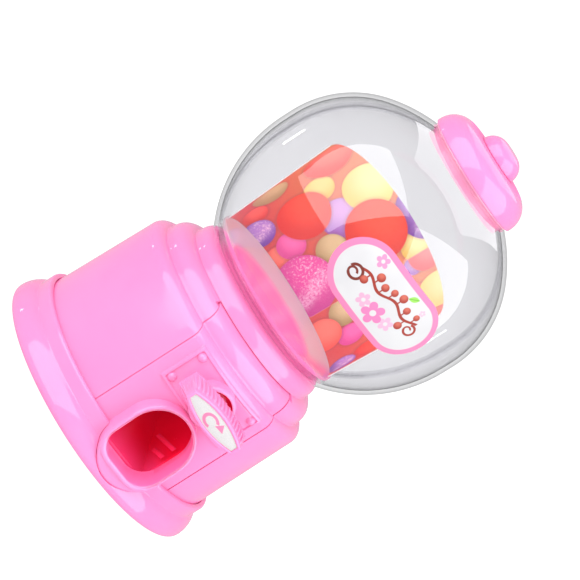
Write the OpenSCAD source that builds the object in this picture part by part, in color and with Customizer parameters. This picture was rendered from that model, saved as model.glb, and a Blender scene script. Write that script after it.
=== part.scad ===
// Table-top gumball machine: round pink base, clear two-part globe, turning knob and lift-off lid.
// Millimetres. +Z is up, the front faces -Y, and the origin is the centre of the foot's underside.

/* [Foot] */
// Largest radius of the flared foot
foot_r = 42.5; // [42:0.1:43]
// Height of the foot's collar
foot_h = 12; // [11.5:0.1:12.5]
// Outer radius of the collar
collar_r = 39.7; // [39.5:0.1:40]

/* [Body] */
// Radius of the drum at its foot
drum_r = 38; // [37.9:0.05:38]
// Radius of the drum under its shoulder
drum_top_r = 37.05; // [36.8:0.05:37.1]
// Height of the drum's shoulder
drum_top = 47.5; // [47.3:0.1:47.6]
// Radius of the middle step
step_r = 33.15; // [33:0.05:33.3]
// Height of the middle step's top
step_top = 53.8; // [53.7:0.05:53.9]
// Radius of the top ring
ring_r = 28.1; // [28:0.05:28.2]
// Height of the top ring
ring_top = 59.8; // [59.7:0.05:59.8]
// Wall thickness of the mouldings
wall = 1.8; // [1.7:0.1:1.9]

/* [Front panel] */
// Half width of the front panel
panel_x = 17.6; // [17.4:0.1:17.8]
// Height of the knob's axis
knob_z = 38.2; // [38:0.1:38.4]
// Half width of the mouth
mouth_x = 9.5; // [9.2:0.1:9.6]

/* [Globe] */
// Largest radius of the globe
globe_r = 42.7; // [42.6:0.05:42.8]
// Height where the lower bowl ends and the short straight band starts
bowl_z = 92; // [91.9:0.1:92.1]
// Height where the flatter upper dome starts
dome_z = 95; // [94.9:0.1:95.1]
// Wall thickness of the clear shells
globe_wall = 1.2; // [1.1:0.05:1.25]

/* [Lid] */
// Radius of the lid
lid_r = 18.45; // [18.3:0.05:18.6]
// Height of the lid's rim
lid_z = 128.2; // [128.2:0.05:128.3]
// Height of the lid's flat top
lid_top = 136.3; // [136.2:0.05:136.4]
// Height of the finial's top
finial_top = 141.3; // [141.2:0.05:141.4]

/* [Hidden] */
$fn = 96;
e = 0.01;
gap = 0.12;               // clearance between mouldings that only meet
pink = "hotpink";
deep_pink = "deeppink";
clear = [0.85, 0.9, 0.95, 0.35];

// foot
bead_r = 7.4;             // radius of the foot's rounded skirt
bead_z = 1.8;             // height of its centre
floor_t = 2;              // thickness of the foot's floor
foot_in_r = drum_r + 0.15;
base_screw_ring = 31;     // radius of the circle of base screws
screw_boss_h = 2.5;       // height of the foot's screw bosses above its floor
counterbore_r = 2.9;
counterbore_h = 2.2;
chute_leg_y = [-25, 6];

// body
drum_round = 3.5;
step_round = 5;
ring_round = 4.4;
drum_in_r = 35.2;
step_in_r = step_r - 1.95;
ring_in_r = ring_r - 1.9;
neck_hole_r = 25.4;
body_z0 = 3;              // underside of the drum, inside the foot's collar

// front panel
plate_x = 14.1;           // half width of the coin plate
plate_z = [31, 45.6];     // its lowest and highest edge
plate_edge = 0.9;         // width of its raised border
rivet_in = 2.1;           // distance of the rivets from the plate's edges
mouth_arch_z = 20;        // centre of the mouth's arch
mouth_floor_z = 7.5;
mouth_corner = 6;         // radius of the mouth's lower corners
spout_wall = 1.6;
spout_x = mouth_x + spout_wall;
spout_low_z = 13.5;       // centre of the spout's rounded underside
spout_top_y = -40.4;      // front of the spout at the height of its crown
spout_lean = 5.3;         // forward lean of the spout's front, in degrees
boss_r = 8;
boss_y = -42;             // front of the round boss behind the knob
boss_hole_r = 5.4;

// knob, shaft and wheel
stem_r = 4;
journal_gap = 0.06;
bearing_r = stem_r + journal_gap;
grip_back_y = -41.2;
grip_back_x = 12;
grip_front_y = -49.7;
grip_x = 11;
shaft_side = 4.2;
shaft_y = [-40.8, 10.9];
shaft_fit = 0.05;
wheel_r = 11.2;
wheel_y = 9;              // half length of the wheel
pocket_r = 6.3;
pocket_z = 10.2;          // distance of a pocket's centre from the shaft
housing_r = 13;
housing_in_r = 11.5;
housing_y = 10.7;         // half length over the end walls
housing_in_y = 9.2;
housing_plate_z = 49.7;   // top of the housing, under the hopper

// hopper
throat_r = 7;
hopper_z0 = 49.8;
hopper_lip_r = 19;         // edge between its cone and the shallow dish around it
hopper_lip_z = 60.4;
hopper_dish_r = 27.3;      // the dish lies inside the bowl; the two globe halves close around it
hopper_dish_z = 63.2;
hopper_rim_r = 23.85;
hopper_flange_r = 30.8;
hopper_screw_ring = 28.4;
hopper_seat_z = 56.2;     // top of the ring that clamps the globe's neck
housing_screws_at = [13.2, 10];

// chute
chute_slope = 14;
chute_x = 9.4;            // inner half width
chute_wall = 1.2;
chute_y = [-33.4, 12];
chute_z = 7.9;            // height of its floor at the front

// globe
bowl_end_z = 59.76;       // where the bowl stops above the top ring
dome_side_r = 32;         // the dome is two arcs, tangent to each other
dome_top_r = 48.96;
dome_top_z = 130.8;
neck_r = 25.2;
neck_z = 56.3;
neck_flange_r = 26;
globe_mouth_r = 17.1;
seam_rim = 0.6;           // the halves thicken at the seam, on the inside
seam_rim_y = 1.2;

// lid
lid_round = 7.2;
sleeve_r = 16.8;
sleeve_z = [124.6, 129];
finial_r = 7.25;
finial_round = 4.9;
peg_r = 2.5;

// printed card in the globe
card_t = 0.35;
card_z = 63.15;           // the card stands on the dish
card_r = [26.45, 28.7];   // inner radius at its foot and at card_top
card_top = 106;
card_end_z = 99;          // height of the top edge at the card's two ends
card_crown = 10.5;        // rise of the top edge towards the back, in degrees
card_turn = 184;
card_side = 23;           // the card sits turned towards the right, in degrees

// stickers
label_x = 18.9;
label_half_h = 9.9;
label_z = 93.8;
label_t = [0.03, 0.18];

// ---------- helpers ----------

// Right half of a flat-bottomed section from the axis out to r, with a rounded upper edge
module tier(r, z0, z1, round) {
    translate([0, z0]) square([r - round, z1 - z0]);
    translate([0, z0]) square([r, z1 - z0 - round]);
    intersection() {
        translate([r - round, z1 - round]) circle(round);
        translate([r - round, z1 - round]) square(round + 1);
    }
}

// Turns a solid built along +Z so that it points to the front
module to_front() rotate([90, 0, 0]) children();

module box(lo, hi) translate(lo) cube(hi - lo);

// Square bar along Y
module square_bar(side, y0, y1) box([-side / 2, y0, knob_z - side / 2], [side / 2, y1, knob_z + side / 2]);

// Round bar along Y at the knob's axis
module round_bar(r, y0, y1) translate([0, y1, knob_z]) to_front() cylinder(r = r, h = y1 - y0);

// Pan-head screw pointing up: the head's underside is at z = 0 and its cross recess faces down
module screw(head_r, head_h, shank_r, shank_h) {
    difference() {
        translate([0, 0, -head_h]) cylinder(r = head_r, h = head_h);
        for (turn = [0, 90]) rotate([0, 0, turn])
            box([-head_r * 0.6, -0.3, -head_h - e], [head_r * 0.6, 0.3, -head_h * 0.45]);
    }
    cylinder(r = shank_r, h = shank_h - shank_r);
    translate([0, 0, shank_h - shank_r - e]) cylinder(r1 = shank_r, r2 = 0.3, h = shank_r);
}

module at_base_screws() for (k = [0:3])
    rotate([0, 0, 45 + 90 * k]) translate([base_screw_ring, 0, 0]) children();
module at_chute_legs() for (y = chute_leg_y) translate([0, y, 0]) children();
module at_hopper_screws() for (k = [0:2])
    rotate([0, 0, 90 + 120 * k]) translate([hopper_screw_ring, 0, 0]) children();
module at_housing_screws() for (sx = [-1, 1], sy = [-1, 1])
    translate([sx * housing_screws_at[0], sy * housing_screws_at[1], 0]) children();

// ---------- foot ----------

module foot_section() {
    difference() {
        union() {
            tier(collar_r, 0, foot_h, 0.8);
            intersection() {
                translate([foot_r - bead_r, bead_z]) circle(bead_r);
                translate([0, bead_z]) square([foot_r + 1, 7]);
            }
            square([foot_r - bead_z, bead_z]);
            translate([foot_r - bead_z, bead_z]) circle(bead_z);
        }
        translate([-e, floor_t]) square([foot_in_r + e, foot_h]);
    }
}

// Spout outline seen from the front, as a column along -Y
module spout_column(grow, y0, y1) {
    translate([0, y1, 0]) to_front() linear_extrude(y1 - y0) {
        translate([0, mouth_arch_z]) circle(spout_x + grow);
        translate([0, spout_low_z]) circle(spout_x + grow);
        translate([-spout_x - grow, spout_low_z]) square([2 * (spout_x + grow), mouth_arch_z - spout_low_z]);
    }
}

module foot_base() {
    color(pink) difference() {
        union() {
            rotate_extrude() foot_section();
            at_base_screws() translate([0, 0, floor_t - e]) cylinder(r = 4, h = screw_boss_h);
            at_chute_legs() translate([0, 0, floor_t - e]) cylinder(r = 4, h = screw_boss_h);
        }
        spout_column(0.15, -50, -36);
        at_base_screws() screw_way();
        at_chute_legs() screw_way();
    }
}

// Counterbore and through hole for a screw that comes up from below
module screw_way() {
    translate([0, 0, -e]) cylinder(r = counterbore_r, h = counterbore_h + e);
    translate([0, 0, -e]) cylinder(r = 1.35, h = floor_t + screw_boss_h + 1);
}

module base_screws() {
    color("silver") at_base_screws() translate([0, 0, counterbore_h]) screw(2.6, 1.6, 1.2, 11);
}

module chute_screws() {
    color("silver") at_chute_legs() translate([0, 0, counterbore_h]) screw(2.6, 1.6, 1.2, 5.6);
}

// ---------- body and front panel ----------

module body_outline() {
    polygon([[0, body_z0], [drum_r, body_z0], [drum_top_r, drum_top - drum_round],
             [drum_top_r - drum_round, drum_top], [0, drum_top]]);
    translate([drum_top_r - drum_round, drum_top - drum_round]) circle(drum_round);
    tier(step_r, drum_top - 1, step_top, step_round);
    tier(ring_r, step_top - 1, ring_top, ring_round);
}

module body_section() {
    difference() {
        body_outline();
        translate([-e, 0]) square([drum_in_r, drum_top - wall]);
        translate([-e, 0]) square([step_in_r, step_top - 1.9]);
        translate([-e, 0]) square([ring_in_r, ring_top - 1.9]);
        translate([-e, 0]) square([neck_hole_r, ring_top + 1]);
    }
}

module body_shell() {
    boss_z = floor_t + screw_boss_h + 0.1;
    color(pink) difference() {
        union() {
            difference() {
                rotate_extrude() body_section();
                box([-panel_x, -60, 0], [panel_x, 0, step_top]);
            }
            at_base_screws() {
                translate([0, 0, boss_z]) cylinder(r = 3, h = 13);
                box([1, -0.8, boss_z], [drum_in_r - base_screw_ring + 0.8, 0.8, boss_z + 13]);
            }
        }
        at_base_screws() translate([0, 0, boss_z - e]) cylinder(r = 1.25, h = 10);
        at_hopper_screws() translate([0, 0, step_top - 2.5]) cylinder(r = 1.15, h = 1.9);
    }
}

// Part of the curved wall between two radii, cut to a block seen from the front
module curved_block(r0, r1, x0, x1, z0, z1) {
    intersection() {
        translate([0, 0, z0]) difference() {
            cylinder(r = r1, h = z1 - z0);
            translate([0, 0, -e]) cylinder(r = r0, h = z1 - z0 + 2 * e);
        }
        box([x0, -60, z0 - 1], [x1, 0, z1 + 1]);
    }
}

module mouth_outline() {
    translate([0, mouth_arch_z]) circle(mouth_x);
    translate([-mouth_x, mouth_floor_z + mouth_corner])
        square([2 * mouth_x, mouth_arch_z - mouth_floor_z - mouth_corner]);
    translate([-mouth_x + mouth_corner, mouth_floor_z])
        square([2 * (mouth_x - mouth_corner), mouth_corner + 1]);
    for (side = [-1, 1])
        translate([side * (mouth_x - mouth_corner), mouth_floor_z + mouth_corner]) circle(mouth_corner);
}

module coin_plate() {
    field_r = 37.7;
    edge_r = 38.3;
    curved_block(36, field_r, -plate_x + 0.5, plate_x - 0.5, plate_z[0] + 0.5, plate_z[1] - 0.5);
    difference() {
        curved_block(36, edge_r, -plate_x, plate_x, plate_z[0], plate_z[1]);
        box([-plate_x + plate_edge, -60, plate_z[0] + plate_edge],
            [plate_x - plate_edge, 0, plate_z[1] - plate_edge]);
    }
    for (sx = [-1, 1], z = [plate_z[0] + rivet_in + 0.2, plate_z[1] - rivet_in - 0.2]) {
        x = sx * (plate_x - rivet_in);
        translate([x, -sqrt(field_r * field_r - x * x) + 0.35, z]) sphere(1.45);
    }
}

module front_panel() {
    color(pink) difference() {
        union() {
            intersection() {
                rotate_extrude() body_section();
                box([-panel_x + gap, -60, body_z0], [panel_x - gap, 0, step_top - gap]);
            }
            for (turn = [0, 1]) mirror([turn, 0, 0]) {
                // a tab that hooks behind the drum's wall, and its root on the panel
                curved_block(33.5, drum_in_r - 0.1, 15.5, 21.3, 16, 43);
                curved_block(33.5, 36, 15.5, panel_x - 0.3, 16, 43);
            }
            coin_plate();
            translate([0, boss_y + 6.5, knob_z]) to_front() rotate_extrude() tier(boss_r, 0, 6.5, 1.6);
            round_bar(6.4, -36, -33.2);
            difference() {
                spout_column(0, -50, -34.2);
                // the front of the spout is one plane that leans forward towards the foot
                translate([0, spout_top_y, mouth_arch_z + spout_x]) rotate([-spout_lean, 0, 0])
                    box([-20, -30, -45], [20, 0, 20]);
            }
        }
        translate([0, -30, 0]) to_front() linear_extrude(25) mouth_outline();
        round_bar(boss_hole_r, boss_y - 1, -38.6);
        round_bar(bearing_r, boss_y - 1, -30);
    }
}

// ---------- hopper, wheel housing and chute ----------

module hopper_section() {
    polygon([
        [throat_r, hopper_z0], [throat_r, hopper_z0 + wall], [hopper_lip_r, hopper_lip_z],
        [hopper_dish_r, hopper_dish_z], [hopper_dish_r, hopper_dish_z - 0.9], [hopper_rim_r, 61.2],
        [hopper_rim_r, hopper_seat_z], [25.9, hopper_seat_z], [25.9, 51.7],
        [hopper_flange_r, 51.7], [hopper_flange_r, 50.2], [22.6, 50.2],
        [22.6, hopper_lip_z - 0.9], [hopper_lip_r + 1.2, hopper_lip_z - 1.6], [throat_r + 2.4, hopper_z0]
    ]);
}

module hopper() {
    color(pink) difference() {
        union() {
            rotate_extrude() hopper_section();
            at_housing_screws() translate([0, 0, hopper_z0]) cylinder(r = 2.4, h = 6.5);
        }
        at_hopper_screws() translate([0, 0, 49]) cylinder(r = 1.3, h = 3);
        at_housing_screws() translate([0, 0, hopper_z0 - e]) cylinder(r = 1.15, h = 3.2);
    }
}

module hopper_screws() {
    color("silver") at_hopper_screws() translate([0, 0, 50.1]) screw(2.4, 1.4, 1.1, 3);
}

module wheel_housing() {
    color(pink) difference() {
        union() {
            round_bar(housing_r, -housing_y, housing_y);
            box([-16, -12.6, housing_plate_z - 1.6], [16, 12.6, housing_plate_z]);
        }
        box([-30, -30, housing_plate_z], [30, 30, 60]);
        round_bar(housing_in_r, -housing_in_y, housing_in_y);
        round_bar(bearing_r, -30, 30);
        box([-7.2, -7.2, knob_z + 6], [7.2, 7.2, 60]);
        box([-8, -8, knob_z - 20], [8, 8, knob_z - 6]);
        at_housing_screws() translate([0, 0, 40]) cylinder(r = 1.3, h = 20);
    }
}

module housing_screws() {
    color("silver") at_housing_screws() translate([0, 0, housing_plate_z - 1.6]) screw(2.4, 1.4, 1.1, 4.3);
}

// Side view of the chute, as [y, z] points: floor_line gives the top of its floor
function floor_line(y) = chute_z + (y - chute_y[0]) * tan(chute_slope);

module chute_side(floor_top) {
    low = -1.5;
    polygon([
        [chute_y[0], floor_line(chute_y[0]) + low], [chute_y[1], floor_line(chute_y[1]) + low],
        [chute_y[1], floor_top ? floor_line(chute_y[1]) : 24.6],
        if (!floor_top) [-14.5, 24.6],
        if (!floor_top) [-16.5, 29.5],
        [chute_y[0], floor_top ? floor_line(chute_y[0]) : 29.5]
    ]);
}

module along_x(x0, x1) translate([x0, 0, 0]) rotate([90, 0, 90]) linear_extrude(x1 - x0) children();

module chute() {
    leg_z = floor_t + screw_boss_h + 0.1;
    color(deep_pink) difference() {
        union() {
            along_x(-chute_x - chute_wall, -chute_x) chute_side(false);
            along_x(chute_x, chute_x + chute_wall) chute_side(false);
            along_x(-chute_x - e, chute_x + e) chute_side(true);
            box([-chute_x - e, chute_y[1] - chute_wall, floor_line(chute_y[1]) - 1],
                [chute_x + e, chute_y[1], 24.6]);
            for (y = chute_leg_y) translate([0, y, leg_z])
                cylinder(r = 2.8, h = floor_line(y) - leg_z - 0.9);
        }
        at_chute_legs() translate([0, 0, leg_z - e]) cylinder(r = 1.25, h = 3.9);
    }
}

// ---------- turning parts ----------

// Outline of the grip: two long arcs cut off square at the ends
module grip_outline(x, half_h, end_h) {
    bow = half_h - end_h;
    r = (x * x + bow * bow) / (2 * bow);
    intersection() {
        translate([0, half_h - r]) circle(r, $fn = 240);
        translate([0, r - half_h]) circle(r, $fn = 240);
        square([2 * x, 4 * half_h], center = true);
    }
}

module at_knob(y) translate([0, y, knob_z]) to_front() children();

module turn_knob() {
    color(pink) difference() {
        union() {
            hull() {
                at_knob(grip_back_y) linear_extrude(0.6) grip_outline(grip_back_x, 4.4, 2.9);
                at_knob(grip_front_y + 0.7) linear_extrude(0.7) grip_outline(grip_x, 3.6, 1.5);
            }
            round_bar(stem_r, grip_back_y - 4, -33);
        }
        // round recess that clears the boss
        difference() {
            round_bar(boss_r + 0.4, boss_y - 0.6, -38);
            round_bar(stem_r, -50, -30);
        }
        at_knob(grip_front_y + 0.4) linear_extrude(2) grip_outline(9.95, 2.65, 1);
        square_bar(shaft_side + 2 * shaft_fit, -41, -30);
    }
}

module knob_label() {
    color("white") at_knob(grip_front_y + 0.4) linear_extrude(0.15) grip_outline(9.85, 2.55, 0.9);
}

module drive_shaft() {
    color("white") difference() {
        square_bar(shaft_side, shaft_y[0], shaft_y[1]);
        round_bar(0.95, shaft_y[1] - 7, shaft_y[1] + 1);
    }
}

module dispensing_wheel() {
    color("white") difference() {
        union() {
            round_bar(wheel_r, -wheel_y, wheel_y);
            round_bar(stem_r, -housing_y - 0.1, housing_y + 0.1);
        }
        for (side = [-1, 1]) translate([0, 0, knob_z + side * pocket_z]) sphere(pocket_r);
        square_bar(shaft_side + 2 * shaft_fit, -20, 20);
    }
}

module shaft_washer() {
    color("silver") difference() {
        round_bar(5, 10.95, 11.75);
        round_bar(1, 10, 13);
    }
}

module shaft_screw() {
    color("silver") translate([0, 11.8, knob_z]) to_front() screw(2.2, 1.4, 0.9, 7);
}

// ---------- globe ----------

// Right half of the globe's outline, grown by g: bowl, straight band, and a dome of two arcs
// that meet on the line through both their centres
module globe_outline(g) {
    side_x = globe_r - dome_side_r;
    top_c = dome_top_z - dome_top_r;
    lean = side_x / (dome_z - top_c);
    far = 60;
    intersection() {
        translate([0, bowl_z]) circle(globe_r + g);
        translate([0, bowl_end_z - g]) square([far, bowl_z - bowl_end_z + g]);
    }
    translate([0, bowl_z]) square([globe_r + g, dome_z - bowl_z]);
    intersection() {
        translate([side_x, dome_z]) circle(dome_side_r + g);
        polygon([[side_x, dome_z], [far, dome_z], [far, dome_z + far], [side_x + far * lean, dome_z + far]]);
    }
    intersection() {
        translate([0, top_c]) circle(dome_top_r + g);
        polygon([[0, dome_z], [side_x, dome_z], [side_x + far * lean, dome_z + far], [0, dome_z + far]]);
    }
}

module neck_outline(g) {
    translate([0, neck_z - 1]) square([neck_r + g, bowl_end_z - neck_z + 2.5]);
}

module globe_section() {
    difference() {
        union() {
            globe_outline(0);
            neck_outline(0);
            translate([0, neck_z]) square([neck_flange_r, 1.5]);
        }
        globe_outline(-globe_wall);
        neck_outline(-globe_wall);
        square([60, neck_z]);
        translate([-e, dome_z]) square([globe_mouth_r, 50]);
    }
}

// The thicker rim inside the seam
module seam_section() {
    difference() {
        globe_outline(-globe_wall + 0.2);
        globe_outline(-globe_wall - seam_rim);
        translate([-e, dome_z]) square([globe_mouth_r, 50]);
        square([60, bowl_end_z + 2.2]);
    }
}

module globe_half(side) {
    color(clear) {
        intersection() {
            rotate_extrude() globe_section();
            box([-60, side > 0 ? 0.02 : -60, 50], [60, side > 0 ? 60 : -0.02, 140]);
        }
        intersection() {
            rotate_extrude() seam_section();
            box([-60, side > 0 ? 0.02 : -seam_rim_y, 50], [60, side > 0 ? seam_rim_y : -0.02, 140]);
        }
    }
}

module globe_front() globe_half(-1);
module globe_back() globe_half(1);

module globe_label() {
    color("white") intersection() {
        rotate_extrude() difference() {
            globe_outline(label_t[1]);
            globe_outline(label_t[0]);
        }
        translate([0, -25, label_z]) to_front() linear_extrude(30) {
            for (side = [-1, 1]) translate([side * (label_x - label_half_h), 0]) circle(label_half_h);
            square([2 * (label_x - label_half_h), 2 * label_half_h], center = true);
        }
    }
}

module picture_card() {
    color("tomato") intersection() {
        rotate([0, 0, 90 - card_side - card_turn / 2]) rotate_extrude(angle = card_turn)
            polygon([[card_r[0], card_z], [card_r[0] + card_t, card_z],
                     [card_r[1] + card_t, card_top], [card_r[1], card_top]]);
        translate([0, 0, card_end_z]) rotate([0, 0, -card_side]) rotate([card_crown, 0, 0])
            box([-40, -40, -60], [40, 40, 0]);
    }
}

// ---------- lid ----------

module lid() {
    color(pink) rotate_extrude() difference() {
        tier(lid_r, lid_z, lid_top, lid_round);
        tier(lid_r - 1.6, lid_z - 1, lid_top - 1.6, lid_round - 1.6);
        translate([-e, lid_top - 3]) square([peg_r + shaft_fit, 4]);
    }
}

module lid_sleeve() {
    color(pink) rotate_extrude() {
        translate([sleeve_r - 1.5, sleeve_z[0]]) square([1.5, sleeve_z[1] - sleeve_z[0]]);
        // the flange that rests on the globe's mouth
        translate([sleeve_r - 1.5, lid_z - 0.36]) square([17.7 - sleeve_r + 1.5, 0.34]);
    }
}

module lid_finial() {
    color(pink) rotate_extrude() {
        tier(finial_r, lid_top + 0.02, finial_top, finial_round);
        translate([0, lid_top - 2.6]) square([peg_r, 3]);
    }
}

foot_base();
body_shell();
front_panel();
hopper();
wheel_housing();
chute();
base_screws();
chute_screws();
hopper_screws();
housing_screws();
globe_front();
globe_back();
globe_label();
picture_card();
turn_knob();
knob_label();
drive_shaft();
dispensing_wheel();
shaft_washer();
shaft_screw();
lid();
lid_sleeve();
lid_finial();
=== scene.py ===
"""Looks of the gumball machine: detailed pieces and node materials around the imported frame."""
import math

import bmesh
import bpy
import numpy as np
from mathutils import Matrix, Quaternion, Vector


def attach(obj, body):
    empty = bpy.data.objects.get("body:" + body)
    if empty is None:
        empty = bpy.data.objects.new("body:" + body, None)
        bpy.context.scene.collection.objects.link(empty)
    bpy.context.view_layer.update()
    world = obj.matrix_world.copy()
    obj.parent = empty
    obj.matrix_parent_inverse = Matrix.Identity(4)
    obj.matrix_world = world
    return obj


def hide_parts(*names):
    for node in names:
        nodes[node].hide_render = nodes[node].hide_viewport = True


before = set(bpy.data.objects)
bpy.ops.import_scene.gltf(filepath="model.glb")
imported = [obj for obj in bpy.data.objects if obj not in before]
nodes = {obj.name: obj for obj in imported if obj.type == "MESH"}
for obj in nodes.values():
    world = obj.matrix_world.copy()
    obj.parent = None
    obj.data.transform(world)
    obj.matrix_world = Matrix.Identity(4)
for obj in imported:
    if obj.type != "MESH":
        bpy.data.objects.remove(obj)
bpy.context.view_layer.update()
MM = 0.001

# ---------------- sizes (mm)

FOOT_R, FOOT_TOP, FOOT_FLOOR = 42.5, 12.0, 2.0
FLARE_R, FLARE_Z, COLLAR_R, COLLAR_BORE = 7.4, 1.8, 39.7, 38.06        # the foot's round flare and collar
BODY_Z0, BODY_BORE, NECK_BORE = 3.0, 35.2, 25.4
DRUM_R, DRUM_TOP_R, DRUM_TOP, DRUM_ROUND = 38.0, 37.05, 47.5, 3.5
STEP_R, STEP_TOP, STEP_ROUND = 33.15, 53.8, 5.0
RING_R, RING_TOP, RING_ROUND = 28.1, 59.8, 4.4
SCREW_CIRCLE, GUSSET_HALF = 31.0, 0.8
PANEL_X, SEAM = 17.6, 0.24
PLATE_X, PLATE_Z = 14.1, (31.0, 45.6)                       # the coin plate
MOUTH_X, ARCH_Z, MOUTH_FLOOR, MOUTH_CORNER, MOUTH_RIM = 9.5, 20.0, 7.5, 6.0, 0.35
SPOUT_X, SPOUT_LOW, SPOUT_MID = 11.1, 13.5, 16.5
SPOUT_Y, SPOUT_LEAN, SPOUT_WALL_Y = -40.4, 5.3, -33.0
KNOB_Z, KNOB_BACK, KNOB_FRONT, LABEL_RECESS = 38.2, -41.2, -49.7, 0.4
GLOBE_R, BOWL_Z, DOME_Z = 42.7, 92.0, 95.0
SIDE_R, TOP_R, TOP_Z = 32.0, 48.96, 130.8                   # the globe's shoulder and top
BOWL_END, NECK_R, NECK_Z, FLANGE_R, FLANGE_TOP = 59.76, 25.2, 56.3, 26.0, 57.8
WALL, GLOBE_MOUTH_R = 1.2, 17.1
CARD_R0, CARD_R1, CARD_Z0, CARD_Z1, CARD_T = 26.45, 28.7, 63.15, 106.0, 0.35
CARD_SPAN, CARD_SIDE = 184.0, 23.0                          # degrees
LABEL_X, LABEL_H, LABEL_Z, LABEL_LEFT, LABEL_TILT = 18.9, 9.9, 93.8, 0.7, 2.0
LID_R, LID_Z, LID_TOP, LID_ROUND, LID_WALL, LID_HOLE = 18.45, 128.2, 136.3, 7.2, 1.6, 2.55
FINIAL_R, FINIAL_TOP, FINIAL_ROUND = 7.25, 141.3, 4.9


# ---------------- points

def around(r, angle, cx=0.0, cy=0.0):
    """The point on a circle at an angle in degrees."""
    return cx + r * math.cos(math.radians(angle)), cy + r * math.sin(math.radians(angle))


def arc(cx, cz, r, a0, a1, n):
    return [around(r, a0 + (a1 - a0) * i / n, cx, cz) for i in range(n + 1)]


def line(p, q, n):
    return [(p[0] + (q[0] - p[0]) * i / n, p[1] + (q[1] - p[1]) * i / n) for i in range(n + 1)]


def turned(points, angle):
    """Points of (x, y) turned about the origin by degrees."""
    c, s = math.cos(math.radians(angle)), math.sin(math.radians(angle))
    return [(x * c - y * s, x * s + y * c) for x, y in points]


def cleaned(points, closed=False):
    """The points without repeats."""
    out = []
    for p in points:
        if not out or math.dist(p, out[-1]) > 1e-4:
            out.append(p)
    if closed and math.dist(out[0], out[-1]) < 1e-4:
        out.pop()
    return out


def spaced(points, step=None, count=None):
    """Points at even steps along an open line, or count of them round a closed one."""
    pts = np.array(cleaned(points) if step else points + [points[0]], float)
    d = np.concatenate([[0], np.cumsum(np.linalg.norm(np.diff(pts, axis=0), axis=1))])
    if step:
        s = np.linspace(0, d[-1], int(round(d[-1] / step)) + 1)
    else:
        s = np.linspace(0, d[-1], count, endpoint=False)
    return np.stack([np.interp(s, d, pts[:, 0]), np.interp(s, d, pts[:, 1])], 1)


def eased(x, a, b):
    """0 below a, 1 above b, smooth between."""
    t = np.clip((x - a) / (b - a), 0, 1)
    return t * t * (3 - 2 * t)


# ---------------- shells of (verts, faces)

def band(a, b, n):
    """Quads between two closed loops of n vertices, which start at a and b."""
    return [[a + k, a + (k + 1) % n, b + (k + 1) % n, b + k] for k in range(n)]


def tube(sections, joined=False):
    """Skin over equal closed loops. Its two ends are capped, or joined to each other."""
    verts, n, last = [tuple(p) for s in sections for p in s], len(sections[0]), len(sections) - 1
    faces = [f for i in range(last) for f in band(i * n, (i + 1) * n, n)]
    if joined:
        faces += band(last * n, 0, n)
    else:
        faces += [list(range(n))[::-1], list(range(last * n, last * n + n))]
    return verts, faces


def cap_faces(rings, n, base=0):
    """Faces over loops of n vertices that shrink towards one last vertex."""
    last, tip = base + (rings - 1) * n, base + rings * n
    faces = [f for i in range(rings - 1) for f in band(base + i * n, base + (i + 1) * n, n)]
    return faces + [[last + k, last + (k + 1) % n, tip] for k in range(n)]


def plate_faces(rows, cols):
    """Faces of a closed plate: a grid of vertices on one side, then the same grid on the other."""
    other, faces = rows * cols, []
    for i in range(rows - 1):
        for a in range(i * cols, i * cols + cols - 1):
            faces.append([a, a + 1, a + cols + 1, a + cols])
            faces.append([other + a, other + a + cols, other + a + cols + 1, other + a + 1])
    for i in range(rows - 1):
        a, b = i * cols, (i + 1) * cols
        faces.append([a, b, other + b, other + a])
        faces.append([b - 1, other + b - 1, other + b + cols - 1, b + cols - 1])
    for j in range(cols - 1):
        a = (rows - 1) * cols + j
        faces.append([j, other + j, other + j + 1, j + 1])
        faces.append([a, a + 1, other + a + 1, other + a])
    return faces


def lathe(points, n=192, start=0.0, turn=360.0, closed=True):
    """A profile of (r, z) turned about Z. Points on the axis become poles."""
    pts = cleaned(points, closed)
    full = abs(turn - 360) < 1e-6
    cols = n if full else n + 1
    verts, rows = [], []
    for r, z in pts:
        if r < 1e-6:
            rows.append([len(verts)] * cols)
            verts.append((0.0, 0.0, z))
        else:
            rows.append(range(len(verts), len(verts) + cols))
            verts += [(*around(r, start + turn * k / n), z) for k in range(cols)]
    faces = []
    for i in range(len(pts) if closed else len(pts) - 1):
        a, b = rows[i], rows[(i + 1) % len(pts)]
        for k in range(n):
            k2 = (k + 1) % cols
            face = [a[k], a[k2], b[k2], b[k]]
            face = [v for j, v in enumerate(face) if v != face[j - 1]]
            if len(face) >= 3:
                faces.append(face)
    if closed and not full:
        faces += [[row[0] for row in rows], [row[-1] for row in rows][::-1]]
    return verts, faces


def prism(outline, y0, y1):
    """Closed column over an outline of (x, z) from y0 to y1."""
    return tube([[(x, y, z) for x, z in outline] for y in (y0, y1)])


def post(x, y, r, z0, z1):
    verts, faces = lathe([(0, z0), (r, z0), (r, z1), (0, z1)], 40, closed=False)
    return [(p[0] + x, p[1] + y, p[2]) for p in verts], faces


def placed(shell, move):
    """The shell with its vertices moved by a function of (x, y, z)."""
    return [move(*v) for v in shell[0]], shell[1]


def merged(shells):
    """Several shells as one."""
    verts, faces = [], []
    for v, f in shells:
        faces += [[i + len(verts) for i in face] for face in f]
        verts += v
    return verts, faces


# ---------------- objects

def recalc(ob):
    bm = bmesh.new()
    bm.from_mesh(ob.data)
    bmesh.ops.remove_doubles(bm, verts=bm.verts, dist=1e-7)
    bmesh.ops.recalc_face_normals(bm, faces=bm.faces)
    bm.to_mesh(ob.data)
    bm.free()


def use(ob, *mats):
    ob.data.materials.clear()
    for mat in mats:
        ob.data.materials.append(mat)


def soften(me, angle):
    me.polygons.foreach_set("use_smooth", [True] * len(me.polygons))
    me.set_sharp_from_angle(angle=math.radians(angle))


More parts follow.
